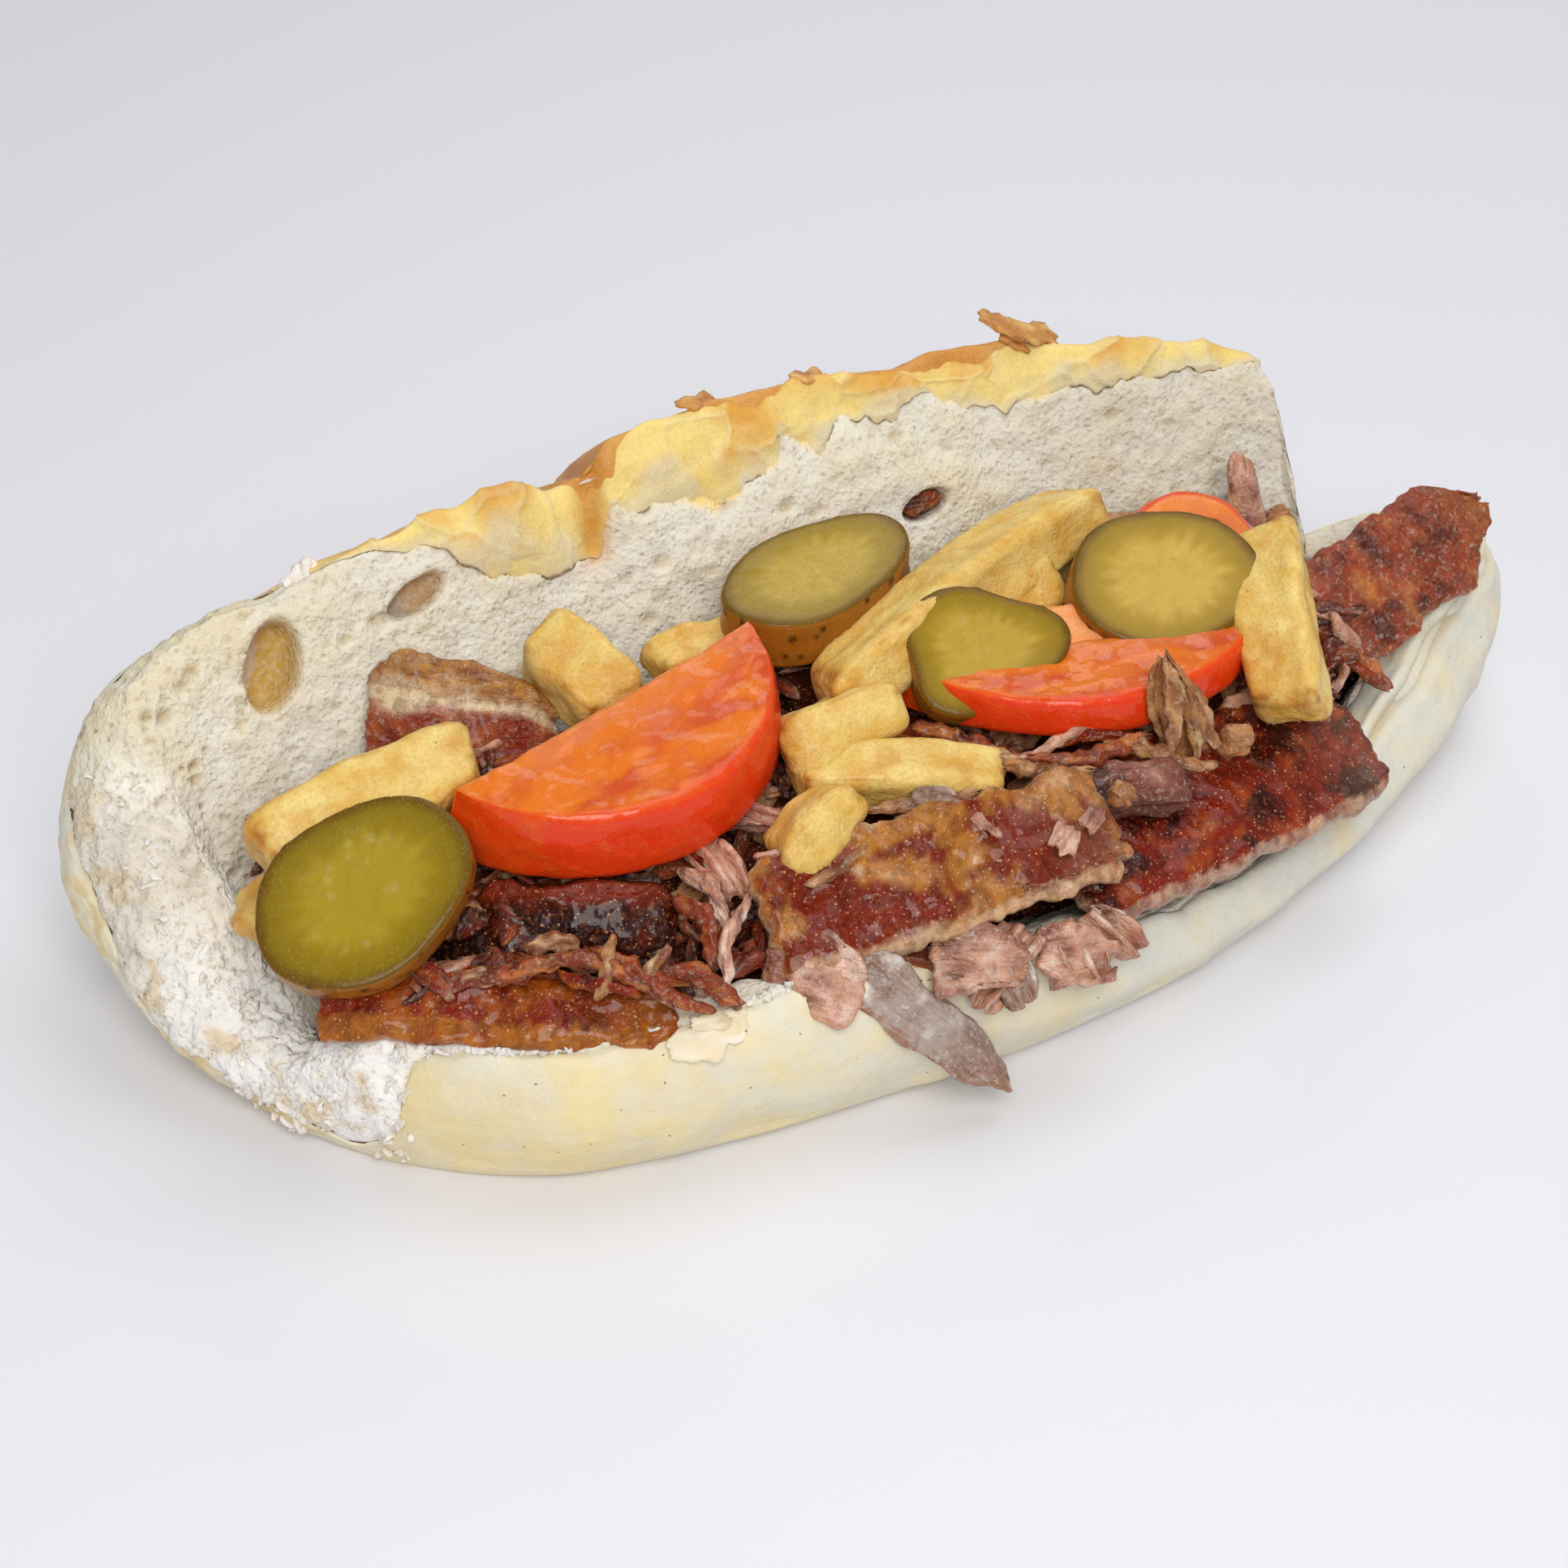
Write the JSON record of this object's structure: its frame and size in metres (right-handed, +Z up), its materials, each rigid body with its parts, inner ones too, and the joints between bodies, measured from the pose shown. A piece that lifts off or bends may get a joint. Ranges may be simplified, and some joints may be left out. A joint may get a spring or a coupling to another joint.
{
  "type": "doner kebab sandwich",
  "caption": "Soft bread loaf slit open like a boat and filled with sliced doner meat, fries, tomato and pickle, lying on its flat base.",
  "frame": {"origin": "on the ground, under the middle of the lower half of the loaf", "axes": "+X along the loaf towards its rounded right end, -Y towards the open front, +Z up"},
  "size_m": [0.2482, 0.1219, 0.0724],
  "materials": {
    "bread": "soft matt crumb with a thin pale to golden crust",
    "meat": "browned, moist, lightly greasy",
    "fry": "fried, lightly oily",
    "tomato": "wet and glossy",
    "pickle": "wet, slightly see-through"
  },
  "bodies": {
    "root": {"bread": "bread", "fry_back_left": "fry", "fry_back_shaded": "fry", "fry_back_short": "fry", "fry_centre_behind": "fry", "fry_centre_end": "fry", "fry_front_flat": "fry", "fry_front_tip": "fry", "fry_left": "fry", "fry_left_low": "fry", "fry_long": "fry", "fry_right": "fry", "meat_chunk_dark": "meat", "meat_fold_left": "meat", "meat_fold_right": "meat", "meat_heap": "meat", "meat_scrap_pink": "meat", "meat_slice_back_left": "meat", "meat_slice_centre": "meat", "meat_slice_dark": "meat", "meat_slice_far_right": "meat", "meat_slice_front_left": "meat", "meat_slice_right": "meat", "meat_strip_hanging": "meat", "meat_strip_lid": "meat", "meat_strip_upright": "meat", "pickle_back": "pickle", "pickle_centre": "pickle", "pickle_left": "pickle", "pickle_right": "pickle", "tomato_chunk": "tomato", "tomato_half_slice": "tomato", "tomato_rim_slice": "tomato", "tomato_tip": "tomato"}
  },
  "joints": []
}
